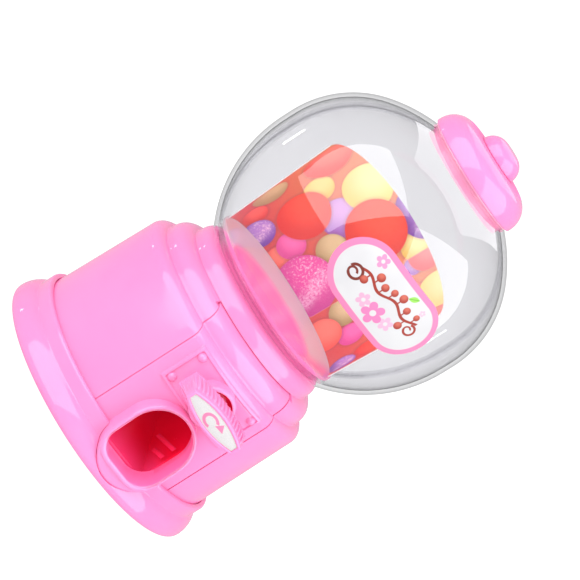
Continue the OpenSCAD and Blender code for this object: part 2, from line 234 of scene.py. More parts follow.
def raw(name, shell, scale=MM):
    """A bare object from a shell, in millimetres unless scaled otherwise."""
    me = bpy.data.meshes.new(name)
    me.from_pydata([tuple(c * scale for c in v) for v in shell[0]], [], shell[1])
    ob = bpy.data.objects.new(name, me)
    bpy.context.scene.collection.objects.link(ob)
    return ob


def make(name, shell, body, mats, replaces=None, smooth=35):
    """A new piece from a shell in millimetres. It rides on a body and may replace a CAD node."""
    ob = raw(name, shell)
    ob.data.validate()
    soften(ob.data, smooth)
    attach(ob, body)
    if replaces:
        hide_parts(replaces)
    recalc(ob)
    use(ob, *mats)
    return ob


def cut(ob, shells, operation="DIFFERENCE", smooth=35):
    """Applies an exact boolean with closed shells that don't overlap each other."""
    tool = raw("cutter", merged(shells))
    recalc(tool)
    mod = ob.modifiers.new("cut", "BOOLEAN")
    mod.operation, mod.solver, mod.object = operation, "EXACT", tool
    new = bpy.data.meshes.new_from_object(ob.evaluated_get(bpy.context.evaluated_depsgraph_get()))
    ob.modifiers.clear()
    old, ob.data = ob.data, new
    new.name = old.name
    bpy.data.meshes.remove(old)
    bpy.data.objects.remove(tool)
    soften(new, smooth)


def paint(ob, rule):
    """Faces get the second material where rule(centre in mm, normal) holds, else the first."""
    for p in ob.data.polygons:
        p.material_index = int(rule(p.center / MM, p.normal))


def lay_print(ob, coordinates):
    """The UV map of a printed face: coordinates(vertex index, place in mm) gives its two values."""
    layer = ob.data.uv_layers.new(name="print")
    for lp in ob.data.loops:
        layer.data[lp.index].uv = coordinates(lp.vertex_index, ob.data.vertices[lp.vertex_index].co / MM)


# ---------------- materials

class Nodes:
    """Short way to write node materials."""

    def __init__(self, name):
        self.mat = bpy.data.materials.new(name)
        self.mat.use_nodes = True
        self.tree = self.mat.node_tree
        self.tree.nodes.clear()
        self.out = self.tree.nodes.new("ShaderNodeOutputMaterial")
        self.place = self.add("TexCoord").outputs["Object"]      # metres in the row frame

    def add(self, kind, props=None, **ins):
        n = self.tree.nodes.new("ShaderNode" + kind)
        for k, v in (props or {}).items():
            setattr(n, k, v)
        for k, v in ins.items():
            self.put(n.inputs[k.replace("_", " ")], v)
        return n

    def put(self, socket, v):
        if isinstance(v, bpy.types.NodeSocket):
            self.tree.links.new(v, socket)
        elif isinstance(v, tuple) and socket.type == "RGBA":
            socket.default_value = (*v, 1)
        else:
            socket.default_value = v

    def put_all(self, n, values, sockets=(0, 1, 2)):
        for i, v in zip(sockets, values):
            self.put(n.inputs[i], v)
        return n

    def math(self, op, *values, clamp=False):
        return self.put_all(self.add("Math", {"operation": op, "use_clamp": clamp}), values).outputs[0]

    def times(self, a, b):
        return self.math("MULTIPLY", a, b)

    def minus(self, a, b):
        return self.math("SUBTRACT", a, b)

    def gap(self, a, b):
        return self.math("ABSOLUTE", self.minus(a, b))

    def length(self, x, y):
        return self.math("SQRT", self.math("ADD", self.times(x, x), self.times(y, y)))

    def mix(self, fac, a, b):
        return self.put_all(self.add("Mix", {"data_type": "RGBA"}), (fac, a, b), (0, 6, 7)).outputs[2]

    def remap(self, value, a, b, lo, hi, kind="LINEAR"):
        n = self.add("MapRange", {"interpolation_type": kind}, Value=value, From_Min=a, From_Max=b)
        n.inputs["To Min"].default_value, n.inputs["To Max"].default_value = lo, hi
        return n.outputs[0]

    def step(self, value, a, b):
        """0 below a, 1 above b (or the other way round if a > b)."""
        return self.remap(value, min(a, b), max(a, b), float(a > b), float(a < b), "SMOOTHSTEP")

    def noise(self, scale, detail=2.0, rough=0.5, distortion=0.0):
        return self.add("TexNoise", Scale=scale, Detail=detail, Roughness=rough, Distortion=distortion,
                        Vector=self.place).outputs[0]

    def bump(self, height, strength, distance, **normal):
        return self.add("Bump", Height=height, Strength=strength, Distance=distance, **normal).outputs[0]

    def print_xy(self):
        """The two values of the print's UV map."""
        uv = self.add("UVMap", {"uv_map": "print"}).outputs[0]
        return self.add("SeparateXYZ", Vector=uv).outputs[:2]

    def finish(self, shader):
        self.tree.links.new(shader, self.out.inputs["Surface"])
        return self.mat

    def principled(self, **ins):
        return self.finish(self.add("BsdfPrincipled", **ins).outputs[0])


def srgb(text):
    c = [int(text[i:i + 2], 16) / 255 for i in (0, 2, 4)]
    return tuple(x / 12.92 if x <= 0.04045 else ((x + 0.055) / 1.055) ** 2.4 for x in c)


def chute_floor(m, x, y, z):
    """Low down at the front of the chute, where the deep red is paler: painted light from the mouth."""
    return m.times(m.step(y, -0.016, -0.035), m.step(z, 0.019, 0.011))


def far_rim(m, x, y, z):
    """The outer part of the hopper's dish, on its far side, which gets a pale painted reflection."""
    return m.times(m.step(m.length(x, y), 0.0178, 0.0206), m.step(y, -0.009, 0.002))


def moulded(name, colour, deep, rough, subsurface=0.1, wave=0.6, through=0.0, tint=None, where=None,
            specular=0.5):
    """Glossy moulded plastic: faint flow variation, soft sink waviness, fine surface grain and dust.
    through is painted glow: an emission of the base colour that stands in for light coming through thin
    walls, and tint a second colour at where()."""
    m = Nodes(name)
    base = m.mix(m.step(m.noise(28, 3, 0.55), 0.3, 0.75), colour, deep)
    if where:
        xyz = m.add("SeparateXYZ", Vector=m.place).outputs
        base = m.mix(where(m, *xyz), base, tint)
    dusty = m.remap(m.noise(420, 4, 0.7), 0.35, 0.8, rough * 0.85, rough * 1.35)
    wavy = m.bump(m.noise(55, 1, 0.4), 0.25 * wave, 0.0006)
    fine = m.bump(m.noise(2600, 2, 0.5), 0.05, 0.00004, Normal=wavy)
    # painted glow: the plastic emits its own base colour
    glow = {"Emission_Color": base, "Emission_Strength": through} if through else {}
    return m.principled(Base_Color=base, Roughness=dusty, Normal=fine, IOR=1.52, Specular_IOR_Level=specular,
                        Subsurface_Weight=subsurface, Subsurface_Radius=(1.0, 0.35, 0.5),
                        Subsurface_Scale=0.003, **glow)


def steel_material():
    m = Nodes("screw_steel")
    spin = m.noise(900, 3, 0.6)
    base = m.mix(m.step(m.noise(60, 2), 0.35, 0.7), (0.60, 0.60, 0.62), (0.50, 0.51, 0.54))
    return m.principled(Base_Color=base, Roughness=m.remap(spin, 0, 1, 0.22, 0.42), Metallic=1.0,
                        Normal=m.bump(spin, 0.15, 0.00003))


def glass_material():
    """Clear polystyrene as a thin wall: tinted see-through plus gloss, moulding ripple and scratches."""
    m = Nodes("clear_plastic")
    ripple = m.bump(m.noise(30, 1, 0.3), 0.10, 0.0005)
    scratched = m.remap(m.noise(260, 3, 0.6, 1.5), 0.55, 0.8, 0.012, 0.05)
    fresnel = m.add("Fresnel", IOR=1.5, Normal=ripple).outputs[0]
    back = m.add("NewGeometry").outputs["Backfacing"]
    # both faces of a wall reflect; the ray meets the near one from the air side, so it carries the sum
    fac = m.times(m.math("MULTIPLY", fresnel, 1.65, clamp=True), m.minus(1.0, back))
    haze = m.step(m.noise(40, 3, 0.6), 0.3, 0.8)
    clear = m.add("BsdfTransparent", Color=m.mix(haze, (0.922, 0.920, 0.930), (0.912, 0.910, 0.921)))
    gloss = m.add("BsdfAnisotropic", Color=(0.95, 0.95, 0.96), Roughness=scratched, Normal=ripple)
    mixed = m.put_all(m.add("MixShader"), (fac, clear.outputs[0], gloss.outputs[0]))
    return m.finish(mixed.outputs[0])


def board_material():
    """Unprinted back of the card and of the sticker: off-white board with faint fibres."""
    m = Nodes("card_board")
    fibre = m.noise(700, 4, 0.65, 0.8)
    base = m.mix(m.step(fibre, 0.35, 0.7), (0.84, 0.83, 0.81), (0.74, 0.73, 0.71))
    return m.principled(Base_Color=base, Roughness=m.step(fibre, -1.2, 1.0),
                        Normal=m.bump(fibre, 0.2, 0.00005))


PINK, PINK_DEEP = (0.83, 0.222, 0.46), (0.82, 0.20, 0.435)
# all pink parts glow a little (through): painted glow that keeps their shaded creases pink
pink = moulded("pink_plastic", PINK, PINK_DEEP, 0.065, through=0.08)
# deeper pink with a strong glow for the inner wall of the mouth: painted shade of the inside, lifted by
# painted glow
pink_shade_and_glow = moulded("pink_painted_shade_and_glow", (0.86, 0.17, 0.42), (0.85, 0.15, 0.39), 0.08, through=0.28)
# the hopper's dish: painted glow (through), and a pale greyish tint on its far rim that is a painted
# reflection of the bright surroundings
dish_pink = moulded("pink_plastic_dish", (0.86, 0.19, 0.45), (0.85, 0.17, 0.42), 0.08, through=0.28,
                    tint=(0.63, 0.46, 0.52), where=far_rim)
# paler pink with painted glow for the sleeve under the lid, which sits in the shade of the lid and the globe:
# painted light
sleeve_pink = moulded("pink_plastic_sleeve", (0.83, 0.34, 0.49), (0.81, 0.31, 0.47), 0.1, through=0.25)
matt = moulded("pink_plastic_matt", PINK, PINK_DEEP, 0.7, specular=0.1)
# deep red for the chute, the wheel housing and the inside of the knob's hole: painted shade of the pink
# plastic in its cavities, with painted glow (through); its two reds vary at random
inner = moulded("inner_plastic", (0.88, 0.010, 0.065), (0.80, 0.006, 0.045), 0.22, 0.0, 1.0, 0.10,
                tint=(0.78, 0.05, 0.19), where=chute_floor)
# a paler copy of the deep red, with more glow, for the chute's ribs: painted light, so that they stand out in
# the painted shade
rib_lit_red = moulded("chute_rib_painted_light", (0.88, 0.035, 0.13), (0.86, 0.03, 0.12), 0.2, 0.0, 1.0, 0.14)
white = moulded("white_plastic", (0.80, 0.80, 0.78), (0.74, 0.74, 0.73), 0.3, 0.0, 1.0)
steel, glass, board = steel_material(), glass_material(), board_material()


# ---------------- outlines of the front, as (x, z)

def spout_outline(grow=0.0):
    return arc(0, ARCH_Z, SPOUT_X + grow, 0, 180, 48) + arc(0, SPOUT_LOW, SPOUT_X + grow, 180, 360, 48)


def mouth_outline(grow, n_arch=60, n_corner=24):
    x, z, r = MOUTH_X - MOUTH_CORNER, MOUTH_FLOOR + MOUTH_CORNER, MOUTH_CORNER + grow
    return (arc(0, ARCH_Z, MOUTH_X + grow, 0, 180, n_arch)
            + arc(-x, z, r, 180, 270, n_corner) + arc(x, z, r, 270, 360, n_corner))


def drum_profile(top):
    """Outside of the drum and the step, as (r, z), up to the step's top."""
    fillet = 0.45
    return ([(DRUM_R, BODY_Z0)] + arc(DRUM_TOP_R - DRUM_ROUND, DRUM_TOP - DRUM_ROUND, DRUM_ROUND, 0, 90, 12)
            + arc(STEP_R + fillet, DRUM_TOP + fillet, fillet, 270, 180, 4)
            + arc(STEP_R - STEP_ROUND, top - STEP_ROUND, STEP_ROUND, 0, 90, 14))


# ---------------- foot

base_screws = [around(SCREW_CIRCLE, 45 + 90 * k) for k in range(4)]
chute_screws = [(0, -25), (0, 6)]


def foot_profile():
    """From the middle of the underside, round the flare and the collar, to the middle of the floor."""
    edge, groove, lip, bevel, fillet = 1.7, 0.5, 0.8, 0.2, 0.6
    flare_x = FOOT_R - FLARE_R
    touch = math.degrees(math.acos((COLLAR_R - flare_x) / FLARE_R))
    groove_z = FLARE_Z + FLARE_R * math.sin(math.radians(touch)) + 0.28
    return ([(0, 0)] + arc(FOOT_R - edge, edge, edge, -90, 0, 8)
            + arc(flare_x, FLARE_Z, FLARE_R, 0, touch - 4, 16)
            + arc(COLLAR_R + groove, groove_z, groove, 235, 180, 4)
            + arc(COLLAR_R - lip, FOOT_TOP - lip, lip, 0, 90, 6)
            + arc(COLLAR_BORE + bevel, FOOT_TOP - bevel, bevel, 90, 180, 4)
            + [(COLLAR_BORE, FOOT_FLOOR + fillet)]
            + arc(COLLAR_BORE - fillet, FOOT_FLOOR + fillet, fillet, 0, -90, 4) + [(0, FOOT_FLOOR)])


def build_foot():
    """Foot with its screw bosses, counterbores and holes, and the notch for the spout."""
    boss_r, bore_r, hole_r, notch_gap = 4.0, 2.9, 1.35, 0.15
    ob = make("foot", lathe(foot_profile(), 256, closed=False), "machine", [pink], "foot_base")
    screws = base_screws + chute_screws
    cut(ob, [post(x, y, boss_r, 1.5, 4.5) for x, y in screws], "UNION")
    cut(ob, [prism(spout_outline(notch_gap), -50, -36)] + [post(x, y, bore_r, -1, 2.2) for x, y in screws])
    cut(ob, [post(x, y, hole_r, 1.9, 6) for x, y in screws])


# ---------------- body

def build_body():
    """Drum, step and ring in one moulding, open for the front panel, with screw bosses on gussets."""
    fillet, lip, seat, shelf = 0.4, 0.5, 26.2, 31.2
    boss_r, boss_z, hole_r, hole_top = 3, (4.6, 17.6), 1.25, 14.6
    profile = (drum_profile(STEP_TOP) + arc(RING_R + fillet, STEP_TOP + fillet, fillet, 270, 180, 4)
               + arc(RING_R - RING_ROUND, RING_TOP - RING_ROUND, RING_ROUND, 0, 68, 12)
               + arc(NECK_BORE + lip, RING_TOP - lip, lip, 90, 180, 4)
               + [(NECK_BORE, 57.9), (seat, 57.9), (seat, 52.0), (shelf, 51.9), (shelf, 45.7),
                  (BODY_BORE, 45.7), (BODY_BORE, BODY_Z0)])
    ob = make("body", lathe(profile, 256), "machine", [pink], "body_shell")
    opening = [(-PANEL_X, 0), (PANEL_X, 0), (PANEL_X, STEP_TOP), (-PANEL_X, STEP_TOP)]
    cut(ob, [prism(opening, -60, 0)])
    # the fillet at the ring's foot, where it would hang over the panel
    r = RING_R + 0.02
    cut(ob, [lathe([(r, 53.0), (31, 53.0), (31, 54.6), (r, 54.6)], 40, -128.2, 76.4)])
    for k, (x, y) in enumerate(base_screws):
        gusset = turned([(r, side * GUSSET_HALF) for r, side in ((32, 1), (36, 1), (36, -1), (32, -1))],
                        45 + 90 * k)
        cut(ob, [post(x, y, boss_r, *boss_z)], "UNION")
        cut(ob, [tube([[(gx, gy, z) for gx, gy in gusset] for z in boss_z])], "UNION")
    cut(ob, [post(x, y, hole_r, 4, hole_top) for x, y in base_screws])


# ---------------- front panel

def plate_relief(x, z):
    """Height of the coin plate: its raised border, less the depth of the field inside it."""
    inside = np.minimum(PLATE_X - np.abs(x), np.minimum(z - PLATE_Z[0], PLATE_Z[1] - z))
    border, field = 0.72, 0.5
    return border * eased(inside, -0.06, 0.22) - field * eased(inside, 0.82, 1.12)


def build_panel():
    """One bent plate, finer around the coin plate, with the mouth and the knob's hole cut out."""
    half, edge = PANEL_X - SEAM, 0.3
    plate_edge, outside = np.arange(12.5, 14.5, 0.1), np.arange(14.6, half, 0.25)
    x = np.concatenate([-outside[::-1], -plate_edge[::-1], np.linspace(-12.3, 12.3, 62), plate_edge, outside])
    x[0], x[-1] = -half, half
    # a slightly rounded edge along the two side seams
    near = np.clip(half - np.abs(x), 0, edge)
    rounding = 0.16 * (1 - np.sqrt(np.clip(1 - (1 - near / edge) ** 2, 0, 1)))

    def bent(r, z):
        """A row of vertices at the height z on a wall of radius r."""
        return [(*p, z) for p in zip(x, -np.sqrt(np.maximum(r * r - x * x, 0)))]

    # rows of vertices: all of them near the plate's lower and upper edges, every third elsewhere
    rows = spaced(drum_profile(STEP_TOP - SEAM) + [(27.0, STEP_TOP - SEAM)], 0.1)
    kept = [i for i, (r, z) in enumerate(rows)
            if 30.6 < z < 32.7 or 43.9 < z < 46.0 or i % 3 == 0 or i == len(rows) - 1]
    front = []
    for r, z in rows[kept]:
        on_plate = 29 < z < DRUM_TOP - 0.5 and r > 34
        front.append(bent(r + (plate_relief(x, z) if on_plate else 0.0) - rounding, z))
    wall = spaced([(36.2, BODY_Z0), (35.3, DRUM_TOP - 2.0), (31.4, DRUM_TOP - 1.8), (31.3, STEP_TOP - 2.1),
                   (26.9, STEP_TOP - 2.1)], 0.3)
    k = np.array(kept) / (len(rows) - 1) * (len(wall) - 1)
    back = [bent(r, z) for r, z in zip(*(np.interp(k, range(len(wall)), wall[:, j]) for j in (0, 1)))]
    verts = [tuple(p) for row in front + back for p in row]
    ob = make("panel", (verts, plate_faces(len(kept), len(x))), "machine", [pink], "front_panel", smooth=50)
    hole_r, mouth_gap, through = 6.3, 0.75, (-45, -30)
    hole = [around(hole_r, a, 0, KNOB_Z) for a in range(0, 360, 6)]
    cut(ob, [prism(mouth_outline(mouth_gap, 48, 16), *through), prism(hole, *through)], smooth=50)


def build_rivets():
    """The four moulded rivets of the plate."""
    rivet_x, margin, plate_r = 11.9, 2.35, 37.5
    dome = [(0, 1.0)] + arc(0, -0.35, 1.35, 90, 14, 10)[1:] + [(1.45, -0.25), (0, -0.25)]
    shells = []
    for side in (-1, 1):
        for z, r in ((PLATE_Z[0] + margin, 37.62), (PLATE_Z[1] - margin, plate_r)):
            a = math.asin(side * rivet_x / plate_r)
            shells.append(placed(lathe(dome, 40, closed=False), lambda x, y, w: (
                math.sin(a) * (r + w) + math.cos(a) * x, -math.cos(a) * (r + w) + math.sin(a) * x, z + y)))
    make("plate_rivets", merged(shells), "machine", [pink], smooth=50)


# ---------------- spout

def polar(outline, n=240):
    """The outline as n points at equal angles about the spout's middle, so that loops match."""
    pts = spaced(outline, count=720)
    ang = np.unwrap(np.arctan2(pts[:, 1] - SPOUT_MID, pts[:, 0]))
    rad = np.hypot(pts[:, 0], pts[:, 1] - SPOUT_MID)
    order = np.argsort(ang)
    ang, rad = ang[order], rad[order]
    a = np.linspace(0, 2 * math.pi, n, endpoint=False)
    r = np.interp(a, np.concatenate([ang - 2 * math.pi, ang, ang + 2 * math.pi]), np.tile(rad, 3))
    return np.stack([r * np.cos(a), SPOUT_MID + r * np.sin(a)], 1)


def front_y(z):
    """The leaning front plane of the spout."""
    return SPOUT_Y - (ARCH_Z + SPOUT_X - z) * math.tan(math.radians(SPOUT_LEAN))


def towards(loop, other, dist):
    """The loop with each point moved by dist towards its partner, at most onto it."""
    d = other - loop
    ln = np.linalg.norm(d, axis=1)[:, None]
    return loop + d / np.maximum(ln, 1e-6) * np.minimum(dist, ln)


def build_spout():
    """Outer wall, rounded rim and inner wall, as one skin."""
    outer_round, rim_round, rim_width, inner_end = 0.75, 0.5, 1.5, -33.9
    outer, mouth = polar(spout_outline()), polar(mouth_outline(MOUTH_RIM))
    rim_edge = polar(mouth_outline(MOUTH_RIM + rim_width))
    room = (np.hypot(outer[:, 0], outer[:, 1] - SPOUT_MID)
            - np.hypot(rim_edge[:, 0], rim_edge[:, 1] - SPOUT_MID))
    shelf = eased(room, 0.2, 1.8)[:, None]               # 1 where the front face runs on below the rim

    def set_back(loop, depth, shelf_depth):
        """The loop behind the front plane, and further back on the shelf."""
        return [(x, front_y(z) + depth + shelf_depth * s, z) for (x, z), s in zip(loop, shelf[:, 0])]

    sections = [[(x, SPOUT_WALL_Y, z) for x, z in outer]]
    for t in (0.0, 0.35, 0.7, 1.0):
        sections.append([(x, (1 - t) * (-36.5) + t * (front_y(z) + outer_round), z) for x, z in outer])
    for a in (22, 45, 68, 90):
        c, s = around(outer_round, a)
        sections.append(set_back(towards(outer, mouth, outer_round - c), outer_round - s, 0.55))
    flat = towards(outer, mouth, outer_round)
    edge = shelf * rim_edge + (1 - shelf) * towards(outer, mouth, 0.80)
    for t, depth in ((0.5, 0.55), (0.93, 0.5), (1.0, 0.28), (1.06, 0.06), (1.12, 0.0)):
        loop = flat + (edge - flat) * min(t, 1.0)
        sections.append(set_back(towards(loop, mouth, (t - 1) * 4.0) if t > 1 else loop, 0, depth))
    for a in (0, 22, 45, 68, 90):
        c, s = around(rim_round, a)
        sections.append(set_back(towards(mouth, outer, rim_round - s), rim_round - c, 0))
    for t in (0.15, 0.35, 0.6, 1.0):
        sections.append([(x * (1 - 0.02 * t), (1 - t) * (front_y(z) + rim_round) + t * inner_end, z)
                         for x, z in mouth])
    ob = make("spout", tube(sections, joined=True), "machine", [pink, pink_shade_and_glow], smooth=60)

    def inside(c, normal):
        facing = normal.x * c.x + normal.z * (c.z - SPOUT_MID)
        return facing < -0.4 * math.hypot(c.x, c.z - SPOUT_MID) and c.y > front_y(c.z) + 0.45

    # the inner faces of the mouth get the painted shade and glow
    paint(ob, inside)


def build_boss():
    """The round boss behind the knob, with its deep hole."""
    profile = (line((6.75, 0.0), (6.6, 5.2), 3) + arc(5.5, 5.2, 1.1, 0, 80, 8)
               + arc(5.55, 6.13, 0.15, 90, 180, 3)
               + [(5.4, 3.1), (4.06, 3.1), (4.06, -2.3), (6.4, -2.3), (6.4, 0.0)])
    shell = placed(lathe(profile, 96), lambda x, y, z: (x, -35.5 - z, KNOB_Z + y))
    ob = make("knob_boss", shell, "machine", [pink, inner])
    # the inside of the hole gets the deep red painted shade
    paint(ob, lambda c, normal: math.hypot(c.x, c.z - KNOB_Z) < 5.45 and c.y > -41.4)


# ---------------- knob

SIDE_POINTS = 60


def grip_loop(x, half_h, end_h, n_end=8):
    """Lens outline with square-cut ends, as (x, z) about the axis."""
    bow = half_h - end_h
    r = (x * x + bow * bow) / (2 * bow)
    top = [(xx, half_h - r + math.sqrt(r * r - xx * xx)) for xx in np.linspace(x, -x, SIDE_POINTS)]
    end = np.linspace(end_h, -end_h, n_end + 2)[1:-1]
    return np.array(top + [(-x, z) for z in end] + [(-a, -b) for a, b in top] + [(x, z) for z in end[::-1]])


BACK_END, FRONT_END, BACK_END_H, FRONT_END_H = 12.0, 11.0, 2.9, 1.5
grip_back, grip_front = grip_loop(BACK_END, 4.4, BACK_END_H), grip_loop(FRONT_END, 3.6, FRONT_END_H)


def grip_y(t):
    """Depth of the grip's tapered side at t, 0 at the back and 1 at the front."""
    return KNOB_BACK - 0.4 + (KNOB_FRONT + 1.0 - KNOB_BACK + 0.4) * t


def inset(loop, d):
    """The loop moved inwards by d along its normals."""
    t = np.roll(loop, -1, 0) - np.roll(loop, 1, 0)
    normal = np.stack([-t[:, 1], t[:, 0]], 1) / np.maximum(np.linalg.norm(t, axis=1)[:, None], 1e-9)
    return loop + normal * d


def build_knob():
    recess = grip_loop(9.95, 2.65, 1.0)
    loops = [(KNOB_BACK, inset(grip_back, 0.4)), (KNOB_BACK - 0.1, inset(grip_back, 0.12))]
    loops += [(grip_y(t), grip_back + (grip_front - grip_back) * t) for t in np.linspace(0, 1, 9)]
    loops += [(KNOB_FRONT + 0.35, grip_front), (KNOB_FRONT + 0.1, inset(grip_front, 0.12)),
              (KNOB_FRONT, inset(grip_front, 0.35)), (KNOB_FRONT, inset(recess, -0.1)),
              (KNOB_FRONT + 0.08, recess), (KNOB_FRONT + LABEL_RECESS, recess)]
    shell = tube([[(x, y, z + KNOB_Z) for x, z in loop] for y, loop in loops])
    ob = make("knob", shell, "knob", [pink], "turn_knob", smooth=40)
    # round recess in its back, around the stem
    cut(ob, [prism([around(8.4, a, 0, KNOB_Z) for a in range(0, 360, 5)], -42.6, -40)], smooth=40)


def build_knob_ribs():
    """Low rounded bars: fifteen on each long side of the grip, and four short ones on each square end."""
    shells, sunk = [], 0.08

    def bar(outer, crest, lift):
        """Cross-section of a bar, as (across, height above the grip)."""
        return ((-outer, -sunk), (-crest, 0.75 * lift), (0, lift), (crest, 0.75 * lift), (outer, -sunk))

    for side in (1, -1):
        for x_rib in np.linspace(-9.8, 9.8, 15):
            sections = []
            for t, lift in ((0.12, 0.0), (0.24, 0.5), (0.5, 0.6), (0.8, 0.5), (0.93, 0.0)):
                loop = grip_back + (grip_front - grip_back) * t
                x = x_rib * (1 + 0.02 * (1 - t)) + 0.9 * (1 - t) * np.sign(x_rib) * min(1, abs(x_rib) / 5)
                z = np.interp(x, loop[SIDE_POINTS - 1::-1, 0], loop[SIDE_POINTS - 1::-1, 1])
                sections.append([(x + dx, grip_y(t), KNOB_Z + side * (z + up))
                                 for dx, up in bar(0.42, 0.25, lift)])
            shells.append(tube(sections))
        for part in (-0.72, -0.24, 0.24, 0.72):
            sections = []
            for t, lift in ((0.1, 0.0), (0.22, 0.26), (0.5, 0.3), (0.8, 0.26), (0.92, 0.0)):
                x = BACK_END + (FRONT_END - BACK_END) * t
                z = part * (BACK_END_H + (FRONT_END_H - BACK_END_H) * t)
                sections.append([(side * (x + up), grip_y(t), KNOB_Z + z + dz)
                                 for dz, up in bar(0.26, 0.15, lift)])
            shells.append(tube(sections))
    make("knob_ribs", merged(shells), "knob", [pink], smooth=60)


def build_knob_stem():
    stem = lathe([(0, 0), (3.7, 0), (4.0, 0.3), (4.0, 9.4), (3.2, 9.4), (0, 9.4)], 64, closed=False)
    make("knob_stem", placed(stem, lambda x, y, z: (x, -42.4 + z - 0.2, KNOB_Z + y)), "knob", [pink])


def turn_label_material():
    """White lens with a pink clockwise arrow: an open ring with an arrow head."""
    m = Nodes("knob_label_print")
    x, y = m.print_xy()
    # an open oval ring
    ex, ey = m.times(m.math("ADD", x, 0.9), 0.58), m.times(m.math("ADD", y, 0.3), 0.87)
    ring = m.step(m.gap(m.length(ex, ey), 1.38), 0.38, 0.28)
    ang = m.math("ARCTAN2", ey, ex)
    opening = m.times(m.step(ang, -1.2, -1.1), m.step(ang, 0.62, 0.52))
    ring = m.times(ring, m.minus(1.0, opening))

    def left_of(a, b):
        """Distance of the point to the left of the line from a to b."""
        (ax, ay), (bx, by) = a, b
        ln = math.dist(a, b)
        k = ((by - ay) * ax - (bx - ax) * ay) / ln
        return m.math("MULTIPLY_ADD", y, (bx - ax) / ln, m.math("MULTIPLY_ADD", x, (ay - by) / ln, k))

    # the head, a triangle at the ring's upper end
    tip, top, low = (4.1, 0.0), (2.3, 1.95), (0.9, -0.25)
    head = m.math("MINIMUM", left_of(tip, top), m.math("MINIMUM", left_of(top, low), left_of(low, tip)))
    mark = m.math("MAXIMUM", ring, m.step(head, -0.05, 0.06))
    grain = m.noise(3800, 2, 0.6)
    paper = m.mix(m.step(grain, 0.4, 0.65), (0.52, 0.51, 0.51), (0.46, 0.45, 0.46))
    return m.principled(Base_Color=m.mix(mark, paper, (0.62, 0.16, 0.31)),
                        Normal=m.bump(grain, 0.35, 0.00004), Roughness=m.remap(grain, 0, 1, 0.3, 0.5))


def build_turn_label():
    """Slightly crowned lens in the knob's recess, with a thin edge."""
    rings, crown, face = 10, 0.16, KNOB_FRONT + LABEL_RECESS
    loop = grip_loop(9.85, 2.55, 0.9)
    n, verts = len(loop), []
    for i in range(rings + 1):
        s = 1 - i / rings
        y = face - 0.12 - crown * (1 - s * s)
        verts += [(x * s, y, z * s + KNOB_Z) for x, z in (loop if s else [(0, 0)])]
    edge = len(verts)
    verts += [(x, face - 0.015, z + KNOB_Z) for x, z in loop]
    faces = cap_faces(rings, n) + band(0, edge, n) + [[edge + k for k in range(n)]]
    ob = make("turn_label", (verts, faces), "knob", [turn_label_material()], "knob_label", 50)
    lay_print(ob, lambda i, co: (co.x, co.z - KNOB_Z))


# ---------------- globe

def globe_profile(g):
    """Outline from the foot of the bowl up to the mouth, moved out by g."""
    side_x, top_c, r = GLOBE_R - SIDE_R, TOP_Z - TOP_R, GLOBE_R + g
    lean = math.degrees(math.atan2(DOME_Z - top_c, side_x))
    low = math.degrees(math.asin((BOWL_END - g - BOWL_Z) / r))
    high = math.degrees(math.acos(GLOBE_MOUTH_R / (TOP_R + g)))
    return cleaned(arc(0, BOWL_Z, r, low, 0, 48) + [(r, DOME_Z)]
                   + arc(side_x, DOME_Z, SIDE_R + g, 0, lean, 36) + arc(0, top_c, TOP_R + g, lean, high, 24))


def build_globe():
    """Two half shells with their neck, and the thicker rim inside each half along the seam."""
    apart, rim_inset, rim_depth = 0.02, 0.75, 1.2
    neck = [(NECK_R, BOWL_END), (NECK_R, FLANGE_TOP), (FLANGE_R, FLANGE_TOP), (FLANGE_R, NECK_Z),
            (NECK_R - WALL, NECK_Z), (NECK_R - WALL, BOWL_END + WALL)]
    section = globe_profile(0)[::-1] + neck + globe_profile(-WALL)
    for end, start, side in (("front", 180.0, -1), ("back", 0.0, 1)):
        shell = placed(lathe(section, 128, start, 180.0), lambda x, y, z: (x, y + side * apart, z))
        make("bowl_" + end, shell, "machine", [glass], "globe_" + end, 40)
    rim = [[p for p in globe_profile(g) if p[1] > 62] for g in (0.15 - WALL, 0.15 - WALL - rim_inset)]
    for end, side in (("front", -1), ("back", 1)):
        y0, y1 = side * 0.03, side * rim_depth
        shells = []
        for mirror in (1, -1):
            shells.append(tube([[(mirror * ro, y0, zo), (mirror * ri, y0, zi),
                                 (mirror * math.sqrt(ri * ri - y1 * y1), y1, zi),
                                 (mirror * math.sqrt(ro * ro - y1 * y1), y1, zo)]
                                for (ro, zo), (ri, zi) in zip(*rim)]))
        make("seam_" + end, merged(shells), "machine", [glass], None, 40)


# ---------------- printed card

TILE_SEAM = 21.8          # mm along the card, where the print starts again
